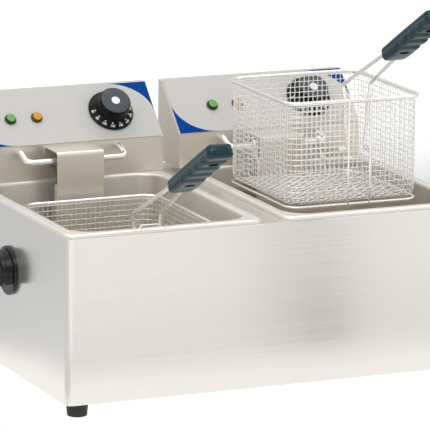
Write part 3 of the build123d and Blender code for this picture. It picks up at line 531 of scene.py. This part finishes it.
def half_outline(width, reach, edge, lip):
    """One half's cross-section from its seam, going away from it: reach is negative for the base."""
    sign = 1 if reach > 0 else -1
    depth = abs(reach)
    edge = min(edge, depth * 0.8)
    side = [(width - lip, 0), (width - lip * 0.3, lip * 0.3), (width, lip)]
    side += [(width - edge + edge * math.cos(a), depth - edge + edge * math.sin(a))
             for a in (math.pi / 2 * k / EDGE_STEPS for k in range(EDGE_STEPS + 1))]
    right = [(x, sign * z) for x, z in side]
    return right + [(-x, z) for x, z in reversed(right)]


def grip_section(s, half):
    """Points (across, up) of the cap's or the base's outline at s along the arm."""
    near, far = s - GRIP_START, GRIP_END - s
    width = HALF_WIDTH[half] - rounding(near, 8) - rounding(far, 9)
    round_off = rounding(near, 3.5) + rounding(far, 5.5)
    if half == "cap":
        crown = CROWN * math.sin(math.pi * near / (GRIP_END - GRIP_START))
        return half_outline(width, GRIP_TOP + crown - round_off, 4.6, 0.4)
    dip = sum(SCALLOP_DEPTH * math.cos((s - at) / SCALLOP_HALF * math.pi / 2) ** 2
              for at in SCALLOPS if abs(s - at) < SCALLOP_HALF)
    thin = THIN_BY * max(0.0, 1 - near / THIN_LENGTH) ** 2
    return half_outline(width, GRIP_BOTTOM + dip + thin + round_off, 5.6, 0.8)


def apply_modifiers(obj):
    """Replaces the mesh by its evaluated one, so no modifier is left."""
    graph = bpy.context.evaluated_depsgraph_get()
    done = bpy.data.meshes.new_from_object(obj.evaluated_get(graph))
    obj.modifiers.clear()
    obj.data = done


def make_grip(side):
    """The cap and the base of one handle's grip, lofted along the arm."""
    pivot = Vector(joints[f"{side}_handle_fold"]["pos_m"])
    bend = pivot + Vector((0, 0, ARM_RISE))
    along = Vector((0, -math.cos(ARM_ANGLE), math.sin(ARM_ANGLE)))
    above = Vector((0, math.sin(ARM_ANGLE), math.cos(ARM_ANGLE)))

    def place(across, s, up):
        return bend + Vector((across, 0, 0)) * MM + along * (s * MM) + above * (up * MM)

    stations = [GRIP_START + e for e in END_STEPS] + list(range(GRIP_START + 10, GRIP_END - 7))
    stations += [GRIP_END - e for e in reversed(END_STEPS[:-1])]
    for half in ("cap", "base"):
        rings = [[place(x, s, z) for x, z in grip_section(s, half)] for s in stations]
        verts, faces = loft(rings)
        obj = add_mesh(f"{side}_grip_{half}_shell", verts, faces, "grip_teal", f"{side}_handle")
        recalculate(obj)
        if half == "base":
            cut_slots(obj, place)
        else:
            # painted highlight along the cap's seam
            paint_seam_highlight(obj, bend, above)
        smooth_by_angle(obj, 35)
        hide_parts(f"{side}_grip_{half}")


def recalculate(obj):
    work = bmesh.new()
    work.from_mesh(obj.data)
    bmesh.ops.recalc_face_normals(work, faces=work.faces)
    work.to_mesh(obj.data)
    work.free()


def smooth_by_angle(obj, degrees):
    obj.data.shade_smooth()
    obj.data.set_sharp_from_angle(angle=math.radians(degrees))


def paint_seam_highlight(obj, bend, above):
    """A painted highlight: paler faces round the cap's edge where it meets the base."""
    obj.data.materials.append(MATERIALS["grip_seam_highlight"])
    for face in obj.data.polygons:
        if SEAM_HIGHLIGHT[0] * MM < (face.center - bend).dot(above) < SEAM_HIGHLIGHT[1] * MM:
            face.material_index = 1


def cut_slots(obj, place):
    """Two pockets in the grip's underside, their walls near-black as painted shade."""
    obj.data.materials.append(MATERIALS["pocket_shade"])
    for number, s in enumerate(SLOTS):
        ring = []
        for k in range(24):
            a = k * math.pi / 12
            shift = SLOT_SHIFT if math.cos(a) >= 0 else -SLOT_SHIFT
            ring.append((shift + SLOT_HALF_WIDTH * math.cos(a), s + SLOT_HALF_LENGTH * math.sin(a)))
        verts, faces = loft([[place(x, t, up) for x, t in ring] for up in (-15, SLOT_FLOOR)])
        mesh = bpy.data.meshes.new("cutter")
        mesh.from_pydata([tuple(v) for v in verts], [], faces)
        mesh.materials.append(MATERIALS["grip_teal"])
        mesh.materials.append(MATERIALS["pocket_shade"])
        for face in mesh.polygons:
            face.material_index = 1
        cutter = bpy.data.objects.new("cutter", mesh)
        bpy.context.scene.collection.objects.link(cutter)
        recalculate(cutter)
        modifier = obj.modifiers.new(f"slot{number}", "BOOLEAN")
        modifier.object, modifier.operation, modifier.solver = cutter, "DIFFERENCE", "EXACT"
        apply_modifiers(obj)
        bpy.data.objects.remove(cutter)


for side in SIDES:
    make_grip(side)


# ---------------------------------------------------------------- knobs and panels
LAMP_ROW = -2.0                                 # lamps down the panel from the knob's centre, mm
SCALE_OUTER, SCALE_INNER = (28.6, 5.1), (22.4, 8.4)     # the slope that carries the scale
CAP_HEIGHT = 26.6
KNOB_PROFILE = (                                # radius and height above the panel, mm
    (3.2, 2.0), (28.8, 2.0), (29.7, 2.3), (30.0, 3.0), (30.0, 3.9), (29.6, 4.6), SCALE_OUTER,
    SCALE_INNER, (21.5, 9.3), (21.2, 10.6), (20.7, 24.6), (20.3, 25.6), (19.8, 26.2), (19.1, 26.5),
    (12, CAP_HEIGHT), (5.6, CAP_HEIGHT), (0.01, CAP_HEIGHT))
FLUTES, FLUTE_DEPTH = 48, 0.12
NOTCH_HALF, NOTCH_R = 1.1, 17.6                 # pointer cut into the cap's edge
TEXTS = ("60", "80", "100", "120", "140", "160", "180", "190")
FIRST_TEXT, TEXT_STEP = 183, 25                 # degrees round the dial
TEXT_R, DOT_R = 26.4, 23.2
PLATE_TOP = 1.25                                # just above the faceplate
PRINT_WIDTH, PRINT_HEIGHT = 57, 48              # radii of the blue corners' arc


def panel_frame(side):
    """Matrix from panel coordinates, in mm about the knob's centre, to the row frame."""
    origin = Vector(joints[f"{side}_knob_turn"]["pos_m"])
    axes = Matrix((PANEL_U, PANEL_V, PANEL_N)).transposed().to_4x4()
    return Matrix.Translation(origin) @ axes @ Matrix.Scale(MM, 4)


def turned(place, profile, count):
    """Rings of count points about the place's Z axis, one for each (radius, height)."""
    angles = [2 * math.pi * k / count for k in range(count)]
    return [[place @ Vector((r * math.cos(a), r * math.sin(a), h)) for a in angles] for r, h in profile]


def make_knob(side):
    """The dial, with shallow flutes round its barrel, and its printed scale."""
    to_row = panel_frame(side)
    around = 160
    rings = []
    for r, h in KNOB_PROFILE:
        ring = []
        for k in range(around):
            a = 2 * math.pi * k / around
            radius = r
            if 9.6 < h < 26 and r < 21.3:
                fade = min(1, (h - 10) / 2, (25.6 - h) / 0.8)
                radius -= FLUTE_DEPTH * (0.5 + 0.5 * math.cos(a * FLUTES)) * fade
            if h > 25 and abs((a - math.pi / 2) * r) < NOTCH_HALF:
                radius = min(radius, NOTCH_R)
            ring.append(to_row @ Vector((radius * math.cos(a), radius * math.sin(a), h)))
        rings.append(ring)
    verts, faces = loft(rings)
    obj = add_mesh(f"{side}_dial", verts, faces, "knob_black", f"{side}_knob")
    obj.data.materials.append(MATERIALS["knob_top"])
    recalculate(obj)
    from_row = to_row.inverted()
    for face in obj.data.polygons:
        if (from_row @ face.center).z > CAP_HEIGHT - 0.25:
            face.material_index = 1
    smooth_by_angle(obj, 32)
    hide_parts(f"{side}_knob")
    print_scale(side, to_row)


def print_scale(side, to_row):
    """Numbers and dots on the dial's slope, and a round mark on its cap."""
    slope = math.atan2(SCALE_INNER[1] - SCALE_OUTER[1], SCALE_OUTER[0] - SCALE_INNER[0])
    bundle = Bundle()
    for number, text in enumerate(TEXTS):
        angle = math.radians(FIRST_TEXT + TEXT_STEP * number)
        outwards = Vector((math.cos(angle), math.sin(angle), 0))
        across = Vector((-math.sin(angle), math.cos(angle), 0))
        inwards = -outwards * math.cos(slope) + Vector((0, 0, math.sin(slope)))
        normal = Vector((0, 0, math.cos(slope))) + outwards * math.sin(slope)
        tilt = Matrix((across, inwards, normal)).transposed().to_4x4()
        for radius, shape in ((TEXT_R, text), (DOT_R, ".")):
            height = SCALE_OUTER[1] + (SCALE_OUTER[0] - radius) * math.tan(slope)
            spot = outwards * radius + Vector((0, 0, height)) + normal * 0.02
            place = to_row @ Matrix.Translation(spot) @ tilt
            if shape == ".":
                bundle.add(*disc(place, 0.95, 0.12))
            else:
                bundle.add(*lettering(shape, place, 4.3, 0.06))
    bundle.add(*disc(to_row @ Matrix.Translation((0, 0, CAP_HEIGHT)), 5.6, 0.15, 48))
    scale = add_mesh(f"{side}_dial_scale", bundle.verts, bundle.faces, "print_white",
                     f"{side}_knob", smooth=False)
    recalculate(scale)


def disc(place, radius, height, count=20):
    """A thin round plate that stands on the place's XY plane, with a softened edge."""
    profile = ((radius, 0), (radius, height * 0.6), (radius - height * 0.4, height))
    return loft(turned(place, profile, count))


def lettering(text, place, size, height):
    """Generic digits as a thin raised mesh."""
    curve = bpy.data.curves.new("digits", "FONT")
    curve.body, curve.size, curve.extrude = text, size, height
    curve.align_x, curve.align_y = "CENTER", "CENTER"
    curve.offset = 0.12
    curve.resolution_u = 3
    holder = bpy.data.objects.new("digits", curve)
    bpy.context.scene.collection.objects.link(holder)
    graph = bpy.context.evaluated_depsgraph_get()
    mesh = bpy.data.meshes.new_from_object(holder.evaluated_get(graph))
    verts = [place @ v.co for v in mesh.vertices]
    faces = [tuple(p.vertices) for p in mesh.polygons]
    bpy.data.objects.remove(holder)
    return verts, faces


def blue_corner(side, name, sign):
    """A printed corner of the panel, bounded by a wide arc: upper right, or lower left by sign -1."""
    low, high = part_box(f"{side}_faceplate")
    to_row = panel_frame(side)
    from_row = to_row.inverted()
    centre = from_row @ ((Vector(low) + Vector(high)) / 2)
    half_u = (high[0] - low[0]) / MM / 2 - 0.5
    half_v = ((high[2] - low[2]) / MM - 1.2 * ROOT_HALF) / ROOT_HALF / 2 - 0.5
    outline = [(half_u, half_v)]
    for k in range(41):
        a = math.pi / 2 * (1 - k / 40)
        outline.append((half_u + PRINT_WIDTH * (math.cos(a) - 1), half_v + PRINT_HEIGHT * (math.sin(a) - 1)))
    rings = [[to_row @ Vector((centre.x + sign * u, centre.y + sign * v, h)) for u, v in outline]
             for h in (PLATE_TOP, PLATE_TOP + 0.06)]
    verts, faces = loft(rings)
    obj = add_mesh(f"{side}_{name}", verts, faces, "panel_blue", f"{side}_head",
                   smooth=False)
    recalculate(obj)


def lamp_ring(side, colour):
    """Dark collar around a lamp's lens."""
    low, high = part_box(f"{side}_{colour}_lamp")
    to_row = panel_frame(side)
    lamp = to_row.inverted() @ ((Vector(low) + Vector(high)) / 2)
    place = to_row @ Matrix.Translation((lamp.x, LAMP_ROW, 0))
    profile = ((7.75, 1.3), (7.75, 2.4), (7.3, 3.0), (6.5, 3.1), (6.3, 2.9), (6.3, 1.3))
    count = 48
    rings = turned(place, profile, count)
    faces = []
    for i in range(len(rings)):
        n = (i + 1) % len(rings)
        for k in range(count):
            m = (k + 1) % count
            faces.append((i * count + k, i * count + m, n * count + m, n * count + k))
    obj = add_mesh(f"{side}_{colour}_collar", [p for ring in rings for p in ring], faces, "lamp_ring",
                   f"{side}_head")
    recalculate(obj)
    smooth_by_angle(obj, 40)


for side in SIDES:
    make_knob(side)
    for colour in ("green", "amber"):
        lamp_ring(side, colour)
    blue_corner(side, "upper_print", 1)
    blue_corner(side, "lower_print", -1)


# ---------------------------------------------------------------- floor, lights and camera
YAW, PITCH, ROLL = (math.radians(a) for a in (24.166, 12.4, 0.733))     # the camera's
CAMERA_PLACE = (-2.08925, -4.59457, 1.31873)
LENS_MM, SENSOR_MM = 344.2, 36
FRONT_Y, FAR_Y = -0.28, -2.0                    # the fryer's front, and the floor's far end of a lane
FLOOR_HALF, FLOOR_Z = 40, -0.0005
WHITE = (1, 1, 1, 1)
BESIDE, LEFT_NEAR, LEFT_FAR = (0.58, 0.58, 0.57, 1), (0.63, 0.645, 0.67, 1), (0.46, 0.465, 0.475, 1)
AHEAD_FAR, AHEAD_NEAR = (0.93, 0.925, 0.915, 1), (0.68, 0.678, 0.67, 1)
BAND = (0.36, 0.36, 0.36, 1)
SKY = ((0.0, WHITE), (0.25, (0.7, 0.695, 0.685, 1)), (0.85, (1.6, 1.6, 1.6, 1)))    # by height


def floor_shade(m):
    """The paper's tone: white where the camera sees it, and grey where only the steel mirrors it.

    lane is the X at which the fryer's front mirrors a place in front of it towards the camera, so
    that a grey lane on the paper gives the front its upright band."""
    place = m.node("ShaderNodeSeparateXYZ", {0: m.coords()})
    x, y = place.outputs[0], place.outputs[1]
    lane = m.math("ADD", x, m.span(y, FAR_Y, FRONT_Y, (FAR_Y - FRONT_Y) * math.tan(YAW), 0))
    front = m.math("MULTIPLY", m.span(y, -0.36, -0.3, 1, 0), m.span(lane, -0.5, -0.4, 0, 1))
    band = m.math("MULTIPLY", m.span(lane, 0.03, 0.16, 0, 1), m.span(lane, 0.17, 0.2, 1, 0))
    corner = m.math("MULTIPLY", m.span(y, -0.45, -0.3, 1, 0), m.span(lane, -0.5, -0.4, 1, 0))
    left_tone = m.blend(m.span(y, 0.3, 1.5, 0, 1), LEFT_NEAR, LEFT_FAR)
    beside = m.blend(m.span(x, -0.39, -0.35, 1, 0), BESIDE, left_tone)
    ahead = m.blend(m.span(y, -0.8, -0.3, 0, 1), AHEAD_FAR, AHEAD_NEAR)
    tone = m.blend(front, beside, m.blend(band, ahead, BAND))
    tone = m.blend(corner, tone, WHITE)
    past_x = m.span(m.math("ABSOLUTE", x), 0.35, 0.39, 0, 1)
    past_y = m.span(m.math("ABSOLUTE", y), 0.3, 0.36, 0, 1)
    around = m.math("MULTIPLY", m.math("MAXIMUM", past_x, past_y), m.span(y, 0.9, 1.4, 1, 0))
    left = m.span(m.math("SUBTRACT", x, m.math("MULTIPLY", y, 0.37)), -0.47, -0.39, 1, 0)
    return m.blend(m.math("MAXIMUM", around, left), WHITE, tone)


def lay_floor():
    mesh = bpy.data.meshes.new("floor")
    corners = [(x * FLOOR_HALF, y * FLOOR_HALF, FLOOR_Z) for x, y in ((-1, -1), (1, -1), (1, 1), (-1, 1))]
    mesh.from_pydata(corners, [], [(0, 1, 2, 3)])
    floor = bpy.data.objects.new("floor", mesh)
    bpy.context.scene.collection.objects.link(floor)
    m = Shader("floor_paper")
    m.set(Base_Color=(0.06, 0.06, 0.06, 1), Roughness=0.9, Specular_IOR_Level=0.0)
    m.set(Emission_Color=floor_shade(m), Emission_Strength=1.1)
    mesh.materials.append(m.material)


def hang_sky():
    """Soft light from all round: dimmest a little above the horizon, brightest overhead."""
    world = bpy.data.worlds.new("studio")
    bpy.context.scene.world = world
    world.use_nodes = True
    tree = world.node_tree
    coord = tree.nodes.new("ShaderNodeTexCoord")
    split = tree.nodes.new("ShaderNodeSeparateXYZ")
    ramp = tree.nodes.new("ShaderNodeValToRGB")
    tree.links.new(coord.outputs["Generated"], split.inputs[0])
    tree.links.new(split.outputs[2], ramp.inputs[0])
    stops = ramp.color_ramp.elements
    stops[1].position = SKY[2][0]
    stops.new(SKY[1][0])
    for stop, (_, colour) in zip(stops, SKY):
        stop.color = colour
    tree.links.new(ramp.outputs[0], tree.nodes["Background"].inputs[0])
    tree.nodes["Background"].inputs[1].default_value = 0.75


def area_light(name, place, target, size, power_w):
    light = bpy.data.lights.new(name, "AREA")
    light.shape, light.size, light.size_y = "RECTANGLE", size[0], size[1]
    light.energy = power_w
    obj = bpy.data.objects.new(name, light)
    bpy.context.scene.collection.objects.link(obj)
    obj.location = place
    obj.rotation_mode = "QUATERNION"
    obj.rotation_quaternion = (Vector(target) - Vector(place)).to_track_quat("-Z", "Y")


def photo_camera():
    """The camera at the photograph's viewing angle."""
    ahead = Vector((math.sin(YAW) * math.cos(PITCH), math.cos(YAW) * math.cos(PITCH), -math.sin(PITCH)))
    right = Vector((math.cos(YAW), -math.sin(YAW), 0))
    up = right.cross(ahead)
    right, up = (math.cos(ROLL) * right + math.sin(ROLL) * up,
                 math.cos(ROLL) * up - math.sin(ROLL) * right)
    data = bpy.data.cameras.new("camera")
    data.lens, data.sensor_width = LENS_MM, SENSOR_MM
    data.clip_start, data.clip_end = 0.1, 100
    camera = bpy.data.objects.new("camera", data)
    bpy.context.scene.collection.objects.link(camera)
    axes = Matrix((right, up, -ahead)).transposed().to_4x4()
    camera.matrix_world = Matrix.Translation(CAMERA_PLACE) @ axes
    bpy.context.scene.camera = camera


lay_floor()
hang_sky()
area_light("key", (-1.6, -1.8, 2.6), (0, 0, 0.2), (1.6, 1.6), 16)
area_light("fill", (2.2, -1.4, 1.4), (0, 0, 0.2), (1.2, 1.6), 4)
area_light("top", (0.2, 0.6, 2.4), (0, 0.1, 0.2), (2.0, 1.2), 8)
photo_camera()
bpy.context.scene.view_settings.view_transform = "Standard"
